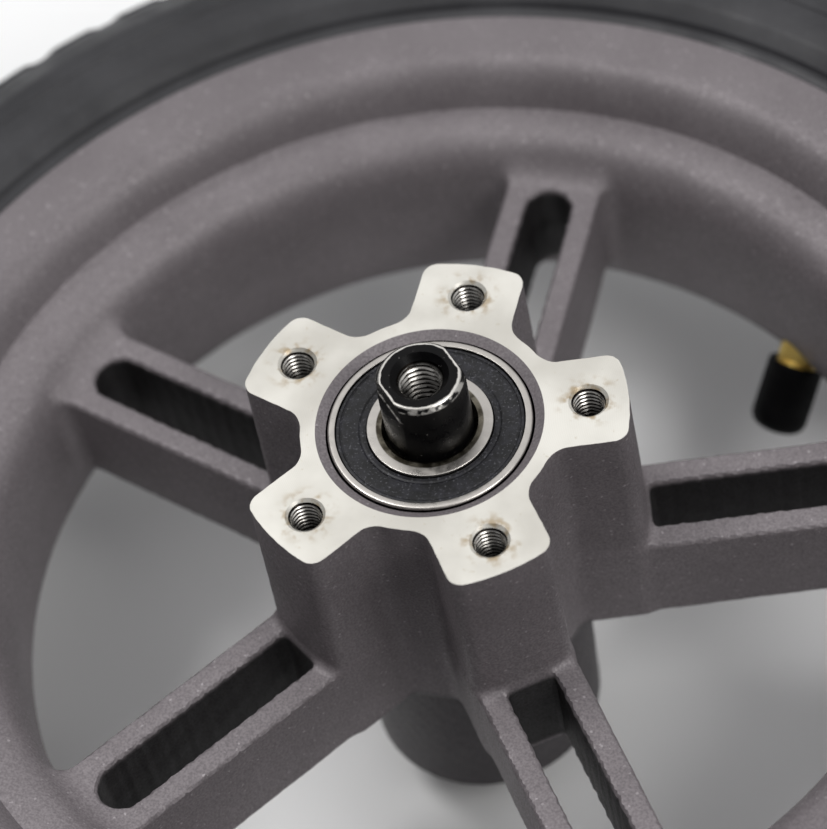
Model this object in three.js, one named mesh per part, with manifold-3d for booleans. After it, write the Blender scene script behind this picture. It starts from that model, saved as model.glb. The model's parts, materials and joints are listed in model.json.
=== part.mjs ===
// A cast aluminium spoked wheel with a pneumatic tyre, running on two sealed
// ball bearings on a dead axle. Millimetres. The axle lies along Z, the origin
// is where the axle's centre line meets the wheel's middle plane, and +Z points
// to the machined five-lobed face that a brake disc or a sprocket bolts to.
import * as THREE from 'three';
import { mergeVertices } from 'three/addons/utils/BufferGeometryUtils.js';
import Module from 'manifold-3d';

const wasm = await Module();
wasm.setup();

// ---- driving dimensions ----------------------------------------------------
const LOBES = 5;
const LOBE_STEP = (2 * Math.PI) / LOBES;
const FIRST_LOBE = Math.PI / 2;

const HUB_HALF = 43; // half the width over the hub's two end faces
const HUB_R = 22.1; // hub between the lobes
const BARREL_TOP_R = 21.8; // plain barrel where it leaves the spokes
const BARREL_END_R = 21.2; // and at its far end
const LOBE_TIP_R = 33.8;
const LOBE_HALF_W = 9;
const LOBE_CORNER_R = 2;
const LOBE_FILLET_R = 2.2;
const BOLT_CIRCLE_R = 27;
const BOLT_R = 2.5; // M6 thread core
const BOLT_DEPTH = 16;
const SINK_R = 3.5;
const SINK_DEPTH = 1;
const MOUTH_R = 19.5; // cone that leads into a bearing seat
const MOUTH_THROAT_R = 18;
const MOUTH_DEPTH = 0.9;
const BORE_R = 15.2; // between the bearing seats

const SPOKE_HALF_DEPTH = 10.3;
const SLOT_HALF_W = 4.5;
const SLOT_IN_R = 35;
const SLOT_OUT_R = 78.3;

const FLANGE_R = 108.8;
const RIM_HALF = 25;
const FLANGE_INSIDE = 22; // height of the flange's tyre side
const SEAT_R = 101.5; // bead seat
const WELL_OUT_R = 86.5;
const WELL_IN_R = 80.8;
const CREST_R = 92.4; // corner between the rim's wall and the well's edge
const CREST_Z = 16.9;
const FAR_CREST_Z = 19.4; // the well is fuller on its far side

const TYRE_R = 150;
const TYRE_HALF = 27.9;
const TYRE_INSIDE_R = 143.6;
const TUBE_WALL = 1.2;
const TUBE_IN_R = 88.2;
const TUBE_OUT_R = 140.6;
const FIT = 0.3; // gap that a bead or a tube keeps to what it rests on

const AXLE_R = 7.5;
const AXLE_HALF = 55.9;
const TIP_CHAMFER = 0.75;
const TIP_FLAT = 6.3; // half the width over the wrench flats
const TIP_FLAT_LENGTH = 3.8;
const TIP_FLAT_TURN = THREE.MathUtils.degToRad(44);
const AXLE_THREAD_R = 3.4; // M8 thread core
const AXLE_MOUTH_R = 5;
const AXLE_THREAD_DEPTH = 20;

// 15 x 35 x 11 mm deep-groove bearing
const BEARING_R = 17.5;
const BEARING_W = 11;
const BEARING_INSET = 0.54; // bearing face below the hub face
const BEARING_Z = HUB_HALF - BEARING_INSET - BEARING_W / 2;
const BALLS = 8;
const BALL_R = 2.95;
const PITCH_R = 12.72;
const RACE_GAP = 0.2; // from the balls to the drawn race
const SEAT_GAP = 0.05; // drawn gap at a press fit
const OUTER_LAND_R = 16.2;
const INNER_LAND_R = 10.8;
const SEAL_FROM = 4.4; // seal, from the bearing's middle plane
const SEAL_TO = 5.2;
const CAGE_IN_R = 12;
const CAGE_OUT_R = 13.5;
const CAGE_HALF = 3.7;
const SLEEVE_R = 10;

// The stem leans through the well's far corner, about midway between two spokes, and bends there.
const VALVE_TURN = THREE.MathUtils.degToRad(55);
const VALVE_BEND_R = 85.2;
const VALVE_BEND_Z = -14.5;
const FOOT_TILT = THREE.MathUtils.degToRad(38); // straight part, from the wheel's plane
const FOOT_LENGTH = 7;
const VALVE_AXIS = new THREE.Vector3(-0.212, -0.656, -0.725).normalize();
const STEM_R = 3.85;
const STEM_TIP = 15.5; // along the bent leg, from the bend
const CAP_MOUTH = 5.5;
const CAP_R = 5.4;
const CAP_LENGTH = 14;
const VALVE_HOLE_R = 5.5; // in the rim's well, filled by the grommet
const STEM_CLEAR_R = 4.2; // room round the stem inside the well
const GROMMET_FROM = 2.4; // along the foot, clear of the bend
const GROMMET_TO = 6.2; // clear of the tube
const AIRWAY_R = 1.2;
const CORE_BORE_R = 2.3;
const CORE_SEAT = 6; // where the core's bore starts, along the bent leg
const CORE_FROM = 8;
const PIN_FROM = 7.4;
const PIN_TO = 15;
const PIN_R = 0.55;

const BIG = 40; // facets round the rim and the tyre
const SMALL = 32; // facets round the hub and the bearings

// ---- materials -------------------------------------------------------------
const finish = (color, roughness, metalness) =>
  new THREE.MeshStandardMaterial({ color, roughness, metalness });
const coat = finish(0x6e696c, 0.6, 0.3);
const blackSteel = finish(0x111012, 0.3, 0.7);
const bearingSteel = finish(0xc8c8c6, 0.25, 1);
const sealRubber = finish(0x26262a, 0.8, 0);
const tyreRubber = finish(0x3c3d40, 0.75, 0);
const tubeRubber = finish(0x1c1c1c, 0.8, 0);
const brass = finish(0xb29e59, 0.3, 1);
const capPlastic = finish(0x0a0a0a, 0.5, 0);
const zincSteel = finish(0x9a9c9e, 0.4, 1);

// ---- solid helpers ---------------------------------------------------------
function solid(geometry) {
  const bare = geometry.index ? geometry.toNonIndexed() : geometry.clone();
  bare.deleteAttribute('normal');
  bare.deleteAttribute('uv');
  const merged = mergeVertices(bare, 1e-4);
  return new wasm.Manifold(
    new wasm.Mesh({
      numProp: 3,
      vertProperties: new Float32Array(merged.attributes.position.array),
      triVerts: new Uint32Array(merged.index.array),
    }),
  );
}

function geometryOf(body) {
  const { vertProperties, triVerts } = body.getMesh();
  const geometry = new THREE.BufferGeometry();
  geometry.setAttribute('position', new THREE.BufferAttribute(vertProperties, 3));
  geometry.setIndex(new THREE.BufferAttribute(triVerts, 1));
  return geometry;
}

// A closed [radius, height] outline turned about Z, outer side listed upwards.
function turned(outline, facets) {
  const points = outline.map(([r, z]) => new THREE.Vector2(r, z));
  if (outline[0][0] > 0) points.push(points[0].clone());
  return new THREE.LatheGeometry(points, facets).rotateX(Math.PI / 2);
}

// The mirror image, below the middle plane, of an outline's points above it.
function below(points) {
  return points.filter(([, z]) => z > 0).map(([r, z]) => [r, -z]);
}

function rod(radius, from, to, facets) {
  const length = to - from;
  return new THREE.CylinderGeometry(radius, radius, length, facets)
    .rotateX(Math.PI / 2)
    .translate(0, 0, (from + to) / 2);
}

function node(name, shape, material) {
  const geometry = shape.isBufferGeometry ? shape : geometryOf(shape);
  const mesh = new THREE.Mesh(geometry, material);
  mesh.name = name;
  return mesh;
}

const lobeAngles = Array.from({ length: LOBES }, (_, k) => FIRST_LOBE + k * LOBE_STEP);

// ---- wheel casting ---------------------------------------------------------
function rimRing() {
  const nearInside = [[81.4, 9], [84.2, 14], [CREST_R, CREST_Z], [94.2, 21.2], [97.4, RIM_HALF]];
  const farInside = [
    [80.9, -11], [81.6, -15.8], [84.2, -18.6], [CREST_R, -FAR_CREST_Z], [94.2, -21.8],
    [97.4, -RIM_HALF],
  ];
  const outside = [
    [FLANGE_R, RIM_HALF], [FLANGE_R, FLANGE_INSIDE],
    [SEAT_R, FLANGE_INSIDE], [SEAT_R, 14], [WELL_OUT_R, 9],
  ];
  const outline = [
    ...farInside.reverse(), [WELL_IN_R, 0], ...nearInside, ...outside,
    ...below(outside).reverse(),
  ];
  return solid(turned(outline.reverse(), BIG));
}

function lobedOutline() {
  const outline = new THREE.Shape();
  const tipCorner = Math.asin(LOBE_HALF_W / LOBE_TIP_R);
  const cornerX = LOBE_HALF_W - LOBE_CORNER_R;
  const cornerY = LOBE_TIP_R * Math.cos(tipCorner) - LOBE_CORNER_R;
  const filletX = LOBE_HALF_W + LOBE_FILLET_R;
  const filletY = Math.sqrt((HUB_R + LOBE_FILLET_R) ** 2 - filletX ** 2);
  const filletTurn = Math.atan2(filletY, filletX);
  for (const angle of lobeAngles) {
    const turn = angle - Math.PI / 2;
    const at = (x, y) => new THREE.Vector2(x, y).rotateAround(new THREE.Vector2(), turn);
    const arc = (x, y, r, a, b, clockwise) => {
      const c = at(x, y);
      outline.absarc(c.x, c.y, r, a + turn, b + turn, clockwise);
    };
    arc(filletX, filletY, LOBE_FILLET_R, filletTurn + Math.PI, Math.PI, true);
    arc(cornerX, cornerY, LOBE_CORNER_R, 0, Math.PI / 2, false);
    const tip = at(0, LOBE_TIP_R);
    outline.lineTo(tip.x, tip.y);
    arc(-cornerX, cornerY, LOBE_CORNER_R, Math.PI / 2, Math.PI, false);
    arc(-filletX, filletY, LOBE_FILLET_R, 0, -filletTurn, true);
  }
  return outline;
}

function lobedHub() {
  const depth = HUB_HALF + SPOKE_HALF_DEPTH;
  return solid(
    new THREE.ExtrudeGeometry(lobedOutline(), { depth, bevelEnabled: false, curveSegments: 2 })
      .translate(0, 0, -SPOKE_HALF_DEPTH),
  );
}

function farBarrel() {
  const barrel = turned(
    [[0, -HUB_HALF], [BARREL_END_R, -HUB_HALF], [BARREL_TOP_R, -SPOKE_HALF_DEPTH], [0, 0]],
    SMALL,
  );
  return solid(barrel);
}

function spoke(angle) {
  const from = BARREL_END_R - 3; // its root lies inside the hub
  const to = (WELL_IN_R + WELL_OUT_R) / 2;
  return solid(
    new THREE.BoxGeometry(to - from, 2 * LOBE_HALF_W, 2 * SPOKE_HALF_DEPTH)
      .translate((from + to) / 2, 0, 0)
      .rotateZ(angle),
  );
}

function spokeSlot(angle) {
  const outline = new THREE.Shape();
  outline.moveTo(SLOT_IN_R, SLOT_HALF_W);
  outline.lineTo(SLOT_IN_R, -SLOT_HALF_W);
  outline.absarc(SLOT_OUT_R - SLOT_HALF_W, 0, SLOT_HALF_W, -Math.PI / 2, Math.PI / 2, false);
  const depth = 2 * SPOKE_HALF_DEPTH + 2;
  return solid(
    new THREE.ExtrudeGeometry(outline, { depth, bevelEnabled: false, curveSegments: 3 })
      .translate(0, 0, -depth / 2)
      .rotateZ(angle),
  );
}

function tappedHole(angle) {
  const hole = turned(
    [
      [0, HUB_HALF - BOLT_DEPTH], [BOLT_R, HUB_HALF - BOLT_DEPTH],
      [BOLT_R, HUB_HALF - SINK_DEPTH], [SINK_R, HUB_HALF], [SINK_R, HUB_HALF + 1],
      [0, HUB_HALF + 1],
    ],
    12,
  );
  return solid(hole.translate(BOLT_CIRCLE_R, 0, 0).rotateZ(angle));
}

// The bore between the bearing seats, the seats, and their coned mouths.
function hubBore() {
  const seatEnd = BEARING_Z - BEARING_W / 2 - 0.1;
  const seatR = BEARING_R + SEAT_GAP;
  const upper = [
    [BORE_R, seatEnd], [seatR, seatEnd], [seatR, HUB_HALF - MOUTH_DEPTH - 0.1],
    [MOUTH_THROAT_R, HUB_HALF - MOUTH_DEPTH], [MOUTH_R, HUB_HALF], [MOUTH_R, HUB_HALF + 1],
    [0, HUB_HALF + 1],
  ];
  return solid(turned([...below(upper).reverse(), ...upper], SMALL));
}

// ---- places along the valve, both measured from its bend -------------------
const valveBend = new THREE.Vector3(
  VALVE_BEND_R * Math.cos(VALVE_TURN),
  VALVE_BEND_R * Math.sin(VALVE_TURN),
  VALVE_BEND_Z,
);

function fromBend(geometry, direction) {
  const turn = new THREE.Quaternion().setFromUnitVectors(new THREE.Vector3(0, 0, 1), direction);
  return geometry.applyQuaternion(turn).translate(valveBend.x, valveBend.y, valveBend.z);
}

// Turns a shape drawn along +Z so that it runs out through the well.
function onFoot(geometry) {
  const along = Math.cos(FOOT_TILT);
  const direction = new THREE.Vector3(
    along * Math.cos(VALVE_TURN),
    along * Math.sin(VALVE_TURN),
    Math.sin(FOOT_TILT),
  );
  return fromBend(geometry, direction);
}

// Turns a shape drawn along +Z so that it runs down the bent leg.
function onBentLeg(geometry) {
  return fromBend(geometry, VALVE_AXIS);
}

// Room for the grommet, the foot, the bend and the start of the bent leg.
function valveHole() {
  const bend = new THREE.SphereGeometry(STEM_CLEAR_R, 12, 6);
  bend.translate(valveBend.x, valveBend.y, valveBend.z);
  return solid(onFoot(rod(VALVE_HOLE_R, GROMMET_FROM - FIT, FOOT_LENGTH + 3, 16)))
    .add(solid(onFoot(rod(STEM_CLEAR_R, 0, GROMMET_FROM, 16))))
    .add(solid(onBentLeg(rod(STEM_CLEAR_R, 0, 8, 16))))
    .add(solid(bend));
}

function wheelCasting() {
  let body = rimRing().add(lobedHub()).add(farBarrel());
  for (const angle of lobeAngles) body = body.add(spoke(angle));
  body = body.subtract(hubBore());
  for (const angle of lobeAngles) {
    body = body.subtract(spokeSlot(angle)).subtract(tappedHole(angle));
  }
  return body.subtract(valveHole());
}

// ---- tyre and tube ---------------------------------------------------------
function tyreCasing() {
  const bead = SEAT_R + FIT;
  const outside = [
    [bead, 14.8], [bead, FLANGE_INSIDE - FIT], [FLANGE_R + FIT, FLANGE_INSIDE - FIT],
    [112, 25.5], [118, TYRE_HALF], [125, 27.2], [134, 23], [142, 15.5], [148, 7.5],
    [TYRE_R, 0],
  ];
  const inside = [[TYRE_INSIDE_R, 0], [138, 14], [128, 22.4], [117, 23.8], [106, 15.2]];
  const outline = [
    ...below(outside), ...outside.slice().reverse(),
    ...inside.slice().reverse(), ...below(inside),
  ];
  return turned(outline, BIG);
}

function innerTube() {
  const skin = (shrink) => {
    const half = [
      [TUBE_IN_R + shrink, 7 - shrink], [104, 12.2 - shrink], [117, 21.4 - shrink],
      [127, 19.4 - shrink], [TUBE_OUT_R - shrink, 5],
    ];
    return solid(turned([...half, ...below(half).reverse()].reverse(), BIG));
  };
  const airHole = solid(onFoot(rod(AIRWAY_R, FOOT_LENGTH, FOOT_LENGTH + 7, 8)));
  return skin(0).subtract(skin(TUBE_WALL)).subtract(airHole);
}

// ---- axle set --------------------------------------------------------------
function axle() {
  const bar = solid(
    turned(
      [
        [0, -AXLE_HALF], [AXLE_R - TIP_CHAMFER, -AXLE_HALF], [AXLE_R, -AXLE_HALF + TIP_CHAMFER],
        [AXLE_R, AXLE_HALF - TIP_CHAMFER], [AXLE_R - TIP_CHAMFER, AXLE_HALF], [0, AXLE_HALF],
      ],
      SMALL,
    ),
  );
  const bore = solid(
    turned(
      [
        [0, AXLE_HALF - AXLE_THREAD_DEPTH], [AXLE_THREAD_R, AXLE_HALF - AXLE_THREAD_DEPTH],
        [AXLE_THREAD_R, AXLE_HALF - MOUTH_DEPTH], [AXLE_MOUTH_R, AXLE_HALF],
        [AXLE_MOUTH_R, AXLE_HALF + 1], [0, AXLE_HALF + 1],
      ],
      16,
    ),
  );
  const deep = 4; // any block deeper than the flat's cut
  const flatBlock = (turn) =>
    solid(
      new THREE.BoxGeometry(deep, 3 * AXLE_R, TIP_FLAT_LENGTH + 1)
        .translate(TIP_FLAT + deep / 2, 0, AXLE_HALF + (1 - TIP_FLAT_LENGTH) / 2)
        .rotateZ(turn),
    );
  const endCut = bore.add(flatBlock(TIP_FLAT_TURN)).add(flatBlock(TIP_FLAT_TURN + Math.PI));
  return bar.subtract(endCut).subtract(endCut.rotate([180, 0, 0]));
}

function spacerSleeve() {
  const half = BEARING_Z - BEARING_W / 2 - SEAT_GAP;
  const bore = AXLE_R + 0.2;
  return turned([[bore, -half], [SLEEVE_R, -half], [SLEEVE_R, half], [bore, half]], SMALL);
}

// ---- ball bearing, drawn about its own middle plane -------------------------
const ballAngles = Array.from({ length: BALLS }, (_, k) => (k * 2 * Math.PI) / BALLS);

// The race round the balls from one shoulder to the other, side +1 outside them, -1 inside.
function race(side) {
  const radius = BALL_R + RACE_GAP;
  const ends = 0.9;
  return [ends, ends / 2, 0, -ends / 2, -ends].map((turn) => [
    PITCH_R + side * radius * Math.cos(turn),
    radius * Math.sin(turn),
  ]);
}

function outerRing() {
  const half = BEARING_W / 2;
  const shoulder = race(1)[0][0];
  return turned(
    [
      [BEARING_R, -half], [BEARING_R, half], [OUTER_LAND_R, half], [OUTER_LAND_R, 4.2],
      [shoulder, 4], ...race(1), [shoulder, -4], [OUTER_LAND_R, -4.2], [OUTER_LAND_R, -half],
    ],
    SMALL,
  );
}

function innerRing() {
  const half = BEARING_W / 2;
  const bore = AXLE_R + SEAT_GAP;
  const chamfer = 0.7;
  return turned(
    [
      [bore, -half + chamfer], [bore + chamfer, -half], [INNER_LAND_R, -half],
      ...race(-1).reverse(), [INNER_LAND_R, half], [bore + chamfer, half],
      [bore, half - chamfer],
    ],
    SMALL,
  );
}

function sealDisc() {
  const inR = INNER_LAND_R + 0.15;
  const outR = OUTER_LAND_R - 0.1;
  return turned(
    [[inR, SEAL_FROM], [outR, SEAL_FROM], [outR, SEAL_TO], [inR, SEAL_TO]],
    SMALL,
  );
}

function ballCage() {
  const section = [
    [CAGE_IN_R, -CAGE_HALF], [CAGE_OUT_R, -CAGE_HALF], [CAGE_OUT_R, CAGE_HALF],
    [CAGE_IN_R, CAGE_HALF],
  ];
  let body = solid(turned(section, SMALL));
  for (const turn of ballAngles) {
    const pocket = rod(BALL_R + 0.25, CAGE_IN_R - 3, CAGE_OUT_R + 3, 8);
    body = body.subtract(solid(pocket.rotateY(Math.PI / 2).rotateZ(turn)));
  }
  return body;
}

function bearingNodes(side, z) {
  const at = (mesh) => {
    mesh.position.z = z;
    return mesh;
  };
  const outerSeal = sealDisc();
  const innerSeal = sealDisc().rotateX(Math.PI);
  const [faceSeal, backSeal] = z > 0 ? [outerSeal, innerSeal] : [innerSeal, outerSeal];
  const nodes = [
    at(node(`outer_ring_${side}`, outerRing(), bearingSteel)),
    at(node(`inner_ring_${side}`, innerRing(), bearingSteel)),
    at(node(`face_seal_${side}`, faceSeal, sealRubber)),
    at(node(`back_seal_${side}`, backSeal, sealRubber)),
    at(node(`ball_cage_${side}`, ballCage(), zincSteel)),
  ];
  ballAngles.forEach((turn, k) => {
    const ball = new THREE.SphereGeometry(BALL_R, 8, 6);
    const mesh = at(node(`ball_${side}_${k + 1}`, ball, bearingSteel));
    mesh.position.x = PITCH_R * Math.cos(turn);
    mesh.position.y = PITCH_R * Math.sin(turn);
    nodes.push(mesh);
  });
  return nodes;
}

// ---- bent valve ------------------------------------------------------------
function valveStem() {
  const elbow = new THREE.SphereGeometry(STEM_R, 12, 6);
  elbow.translate(valveBend.x, valveBend.y, valveBend.z);
  const straight = onFoot(rod(STEM_R, 0, FOOT_LENGTH, 12));
  const bent = onBentLeg(
    turned(
      [
        [0, 0], [STEM_R, 0], [STEM_R, STEM_TIP - 0.5], [STEM_R - 0.5, STEM_TIP], [0, STEM_TIP],
      ],
      12,
    ),
  );
  const airway = onFoot(rod(AIRWAY_R, -0.4, FOOT_LENGTH + 1, 8));
  const coreBore = onBentLeg(
    turned(
      [
        [0, -0.5], [AIRWAY_R, -0.5], [AIRWAY_R, CORE_SEAT], [CORE_BORE_R, CORE_SEAT + 0.8],
        [CORE_BORE_R, STEM_TIP + 1], [0, STEM_TIP + 1],
      ],
      8,
    ),
  );
  return solid(elbow).add(solid(straight)).add(solid(bent))
    .subtract(solid(airway)).subtract(solid(coreBore));
}

function valveCore() {
  const bore = PIN_R + 0.35;
  const outer = CORE_BORE_R - FIT;
  const to = STEM_TIP - 1;
  return onBentLeg(turned([[bore, CORE_FROM], [outer, CORE_FROM], [outer, to], [bore, to]], 8));
}

function valvePin() {
  return onBentLeg(turned([[0, PIN_FROM], [PIN_R, PIN_FROM], [PIN_R, PIN_TO], [0, PIN_TO]], 6));
}

function valveCap() {
  const end = CAP_MOUTH + CAP_LENGTH;
  const bore = STEM_R + FIT;
  const floor = STEM_TIP + 1.2;
  return onBentLeg(
    turned(
      [
        [bore, CAP_MOUTH], [CAP_R, CAP_MOUTH], [CAP_R, end - 2.2], [CAP_R - 0.8, end - 0.7],
        [CAP_R - 2.4, end], [0, end], [0, floor], [bore, floor],
      ],
      16,
    ),
  );
}

function valveGrommet() {
  const inR = STEM_R + FIT;
  const outR = VALVE_HOLE_R - FIT;
  const section = [
    [inR, GROMMET_FROM], [outR, GROMMET_FROM], [outR, GROMMET_TO], [inR, GROMMET_TO],
  ];
  return onFoot(turned(section, 16));
}

// ---- assembly --------------------------------------------------------------
const wheel = new THREE.Group();
wheel.add(
  node('wheel_casting', wheelCasting(), coat),
  node('tyre', tyreCasing(), tyreRubber),
  node('inner_tube', innerTube(), tubeRubber),
  node('valve_stem', valveStem(), brass),
  node('valve_core', valveCore(), brass),
  node('valve_pin', valvePin(), brass),
  node('valve_cap', valveCap(), capPlastic),
  node('valve_grommet', valveGrommet(), tubeRubber),
  node('axle', axle(), blackSteel),
  node('spacer_sleeve', spacerSleeve(), zincSteel),
  ...bearingNodes('near', BEARING_Z),
  ...bearingNodes('far', -BEARING_Z),
);

export default wheel;
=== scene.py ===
"""A cast spoked wheel with a pneumatic tyre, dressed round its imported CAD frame.

Sizes are in millimetres and in the frame's own axes: the axle lies along Z, the wheel's middle plane is
Z = 0, the machined lobed face looks up +Z, and one spoke points along +Y. MM turns them into metres
where a mesh, a light or a camera is made.
"""

import json
import math

import bmesh
import bpy
import numpy as np
import openvdb
from mathutils import Matrix, Vector


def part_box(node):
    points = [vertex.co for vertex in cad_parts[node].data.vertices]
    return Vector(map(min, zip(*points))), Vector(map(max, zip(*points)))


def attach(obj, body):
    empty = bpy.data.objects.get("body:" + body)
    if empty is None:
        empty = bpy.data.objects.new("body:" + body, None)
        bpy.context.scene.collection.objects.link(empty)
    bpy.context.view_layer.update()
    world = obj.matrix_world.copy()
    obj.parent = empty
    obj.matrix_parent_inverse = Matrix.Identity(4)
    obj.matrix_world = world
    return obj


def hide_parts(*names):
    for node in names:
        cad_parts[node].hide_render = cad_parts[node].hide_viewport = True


MM = 0.001

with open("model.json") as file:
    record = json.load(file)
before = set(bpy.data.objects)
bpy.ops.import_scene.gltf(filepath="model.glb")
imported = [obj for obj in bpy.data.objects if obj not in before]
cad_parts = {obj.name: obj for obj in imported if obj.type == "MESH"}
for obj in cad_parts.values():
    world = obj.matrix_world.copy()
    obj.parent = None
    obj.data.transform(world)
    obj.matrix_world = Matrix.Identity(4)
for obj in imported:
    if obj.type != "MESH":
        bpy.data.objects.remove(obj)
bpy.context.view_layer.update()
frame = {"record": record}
BODY_OF = {n: body for body, nodes in frame["record"]["behaviour"]["bodies"].items() for n in nodes}


def reach(node, axis):
    """The highest coordinate of a CAD node along an axis, in millimetres."""
    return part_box(node)[1][axis] / MM


# ---- driving sizes ----------------------------------------------------------
SPOKES = 5
SPOKE_STEP = 2 * math.pi / SPOKES
FIRST_SPOKE = math.pi / 2

HUB_HALF = reach("wheel_casting", 2)
HUB_R = 22.1
BARREL_TOP_R = 21.8
BARREL_END_R = 21.2
LOBE_TIP_R = 33.8
LOBE_HALF_W = 9.0
LOBE_CORNER_R = 2.0
LOBE_FILLET_R = 2.2
LOBE_DRAFT = 0.7
BOLT_CIRCLE_R = 27.0
BOLT_DEPTH = 15

SPOKE_HALF_W = 9.0
SPOKE_HALF_DEPTH = 10.3
SPOKE_EDGE_R = 0.8
SPOKE_DRAFT = 0.35
SPOKE_END_R = 84.3
SPOKE_FOOT_R = 1.6
WINDOW_CORNER_R = 3.6
SLOT_IN_R = 35.0
SLOT_OUT_R = 78.3
SLOT_HALF_W = 4.5
SLOT_CORNER_R = 1.4
SLOT_EDGE_R = 0.65
SLOT_SHADE_Z = 8.6

FLANGE_R = 108.8
RIM_HALF = 25.0
SEAT_R = 101.5
CREST = (92.4, 16.9)
FAR_CREST = (92.4, 19.4)
WELL_IN_R = 80.8
WELL_OUT_R = 86.5

TYRE_R = 150.0
TYRE_HALF = 27.9

AXLE_R = 7.5
AXLE_HALF = reach("axle", 2)
FLAT_HALF_W = 6.3
FLAT_LENGTH = 3.8
FLAT_TURN = math.radians(44)
TIP_CHAMFER = 0.75
AXLE_MOUTH_R = 5.0

BEARING_R = 17.5
BEARING_HALF = 5.5
BEARING_Z = HUB_HALF - 0.54 - BEARING_HALF
OUTER_LAND_R = 16.2
INNER_LAND_R = 10.8
BALLS = 8
BALL_R = 2.95
PITCH_R = 12.72

VALVE_TURN = math.radians(55)
VALVE_BEND = Vector((85.2 * math.cos(VALVE_TURN), 85.2 * math.sin(VALVE_TURN), -14.5))
FOOT_TILT = math.radians(38)
FOOT_LENGTH = 7.0
VALVE_HOLE_R = 5.5
STEM_CLEAR_R = 4.2
GROMMET_FROM = 2.4
GROMMET_TO = 6.2
AIR_HOLE_R = 1.4
AIRWAY_R = 1.2
VALVE_AXIS = Vector((-0.212, -0.656, -0.725)).normalized()
STEM_R = 3.85
STEM_TIP = 15.5
CAP_MOUTH = 5.5
CAP_R = 5.4
CAP_LENGTH = 14.0

# ---- mesh helpers -----------------------------------------------------------


def new_object(name, data):
    thing = bpy.data.objects.new(name, data)
    bpy.context.scene.collection.objects.link(thing)
    return thing


def new_piece(name, points, faces, sharp_deg=32):
    """A smooth-shaded closed mesh object from points in millimetres, with its faces turned outwards."""
    mesh = bpy.data.meshes.new(name)
    mesh.from_pydata((np.asarray(points, float) * MM).tolist(), [], [tuple(f) for f in faces])
    piece = new_object(name, mesh)
    tidy(piece, sharp_deg)
    return piece


def tidy(piece, sharp_deg=32):
    """Merges doubles, turns faces outwards, and shades smooth except at edges past sharp_deg."""
    bm = bmesh.new()
    bm.from_mesh(piece.data)
    bmesh.ops.remove_doubles(bm, verts=bm.verts, dist=1e-7)
    bmesh.ops.recalc_face_normals(bm, faces=bm.faces)
    limit = math.radians(sharp_deg)
    for face in bm.faces:
        face.smooth = True
    for edge in bm.edges:
        edge.smooth = len(edge.link_faces) != 2 or edge.calc_face_angle(0) < limit
    bm.to_mesh(piece.data)
    bm.free()


def combine(piece, other, operation="DIFFERENCE"):
    """Joins other to piece, or cuts it away, and removes other."""
    modifier = piece.modifiers.new("combine", "BOOLEAN")
    modifier.operation = operation
    modifier.solver = "MANIFOLD"
    modifier.object = other
    bpy.context.view_layer.update()
    evaluated = piece.evaluated_get(bpy.context.evaluated_depsgraph_get())
    mesh = bpy.data.meshes.new_from_object(evaluated)
    piece.modifiers.clear()
    piece.data = mesh
    bpy.data.objects.remove(other)


def grid_faces(rows, columns, wrap_rows):
    """Quads of a grid of points whose columns run round and whose rows close when wrap_rows is true."""
    last = rows if wrap_rows else rows - 1
    i, j = np.meshgrid(np.arange(last), np.arange(columns), indexing="ij")
    below = (i + 1) % rows
    right = (j + 1) % columns
    quads = [i * columns + j, i * columns + right, below * columns + right, below * columns + j]
    return np.stack(quads, -1).reshape(-1, 4).tolist()


def spin(radius, height, turn):
    """Points at each radius, height and turn, which are arrays of one shape."""
    return np.stack([radius * np.cos(turn), radius * np.sin(turn), height], -1).reshape(-1, 3)


def turned(name, outline, segments=96, sharp_deg=32):
    """An outline of (radius, height) turned about Z, closed on itself or on the axis."""
    outline = np.asarray(outline, float)
    on_axis = outline[0, 0] == 0
    rows = outline[1:-1] if on_axis else outline
    turn = np.arange(segments) * 2 * math.pi / segments
    radius = np.repeat(rows[:, :1], segments, 1)
    height = np.repeat(rows[:, 1:], segments, 1)
    points = spin(radius, height, np.repeat(turn[None, :], len(rows), 0))
    faces = grid_faces(len(rows), segments, not on_axis)
    if on_axis:
        first, last = len(points), len(points) + 1
        points = np.vstack([points, [0, 0, outline[0, 1]], [0, 0, outline[-1, 1]]])
        end = (len(rows) - 1) * segments
        for j in range(segments):
            k = (j + 1) % segments
            faces.append((first, k, j))
            faces.append((last, end + j, end + k))
    return new_piece(name, points, faces, sharp_deg)


def rod(name, radius, low, high, segments):
    """A plain round cutter along Z."""
    return turned(name, [(0, low), (radius, low), (radius, high), (0, high)], segments)


def spun(name, heights, radius_at, segments=48, sharp_deg=45):
    """A closed solid about Z whose radius is radius_at(height, turn)."""
    turn = np.arange(segments) * 2 * math.pi / segments
    z, t = np.meshgrid(np.asarray(heights, float), turn, indexing="ij")
    points = spin(radius_at(z, t), z, t)
    faces = grid_faces(len(heights), segments, False)
    faces.append(list(range(segments - 1, -1, -1)))
    faces.append([(len(heights) - 1) * segments + j for j in range(segments)])
    return new_piece(name, points, faces, sharp_deg)


def rounded(corners, closed=True, steps=4):
    """The outline through corners of (radius, height, rounding), each one rounded by an arc."""
    outline = []
    for i, (x, y, size) in enumerate(corners):
        here = np.array([x, y], float)
        if size == 0 or (not closed and i in (0, len(corners) - 1)):
            outline.append(here)
            continue
        a = np.array(corners[i - 1][:2], float) - here
        b = np.array(corners[(i + 1) % len(corners)][:2], float) - here
        a /= np.linalg.norm(a)
        b /= np.linalg.norm(b)
        half = math.acos(np.clip(a @ b, -1, 1)) / 2
        middle = (a + b) / np.linalg.norm(a + b)
        centre = here + middle * size / math.sin(half)
        first = here + a * size / math.tan(half) - centre
        last = here + b * size / math.tan(half) - centre
        for share in np.linspace(0, 1, steps + 1):
            spoke = (1 - share) * first + share * last
            outline.append(centre + spoke / np.linalg.norm(spoke) * size)
    return outline


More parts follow.
